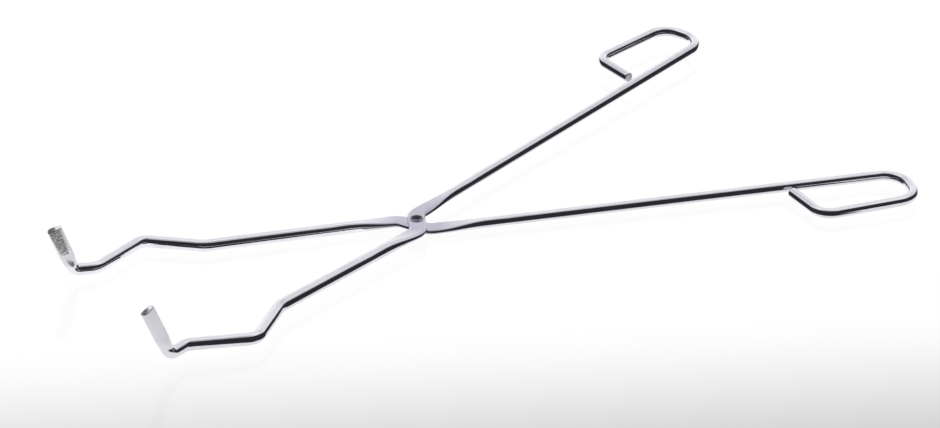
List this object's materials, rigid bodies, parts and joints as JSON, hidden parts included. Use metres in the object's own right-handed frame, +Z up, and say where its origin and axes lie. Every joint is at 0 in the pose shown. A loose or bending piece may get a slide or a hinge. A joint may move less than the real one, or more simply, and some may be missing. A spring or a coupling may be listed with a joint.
{
  "type": "crucible tongs",
  "caption": "Long riveted tongs of bent plated rod, with open finger loops, bowed jaws and upturned serrated nibs, for lifting hot crucibles, beakers or jars.",
  "frame": {"origin": "on the rivet axis, at the flat underside of the rivet's closing head, in the plane that the tongs lie on", "axes": "+X along the tongs' centre line towards the jaws, +Y towards the upper arm's jaw, +Z up along the rivet axis towards its domed head"},
  "size_m": [0.4731, 0.2568, 0.0396],
  "materials": {
    "plated_rod": "bright nickel-chrome plate on mild steel rod",
    "rivet": "plated domed steel rivet, duller than the rods"
  },
  "bodies": {
    "lower_arm": {"lower_arm": "plated_rod"},
    "upper_arm": {"upper_arm": "plated_rod", "pivot_rivet": "rivet"}
  },
  "joints": [
    {"name": "pivot", "type": "hinge", "parent": "lower_arm", "child": "upper_arm", "pos_m": [0, 0, 0.00515], "axis": [0, 0, 1], "range_deg": [-29.6, 62]}
  ]
}
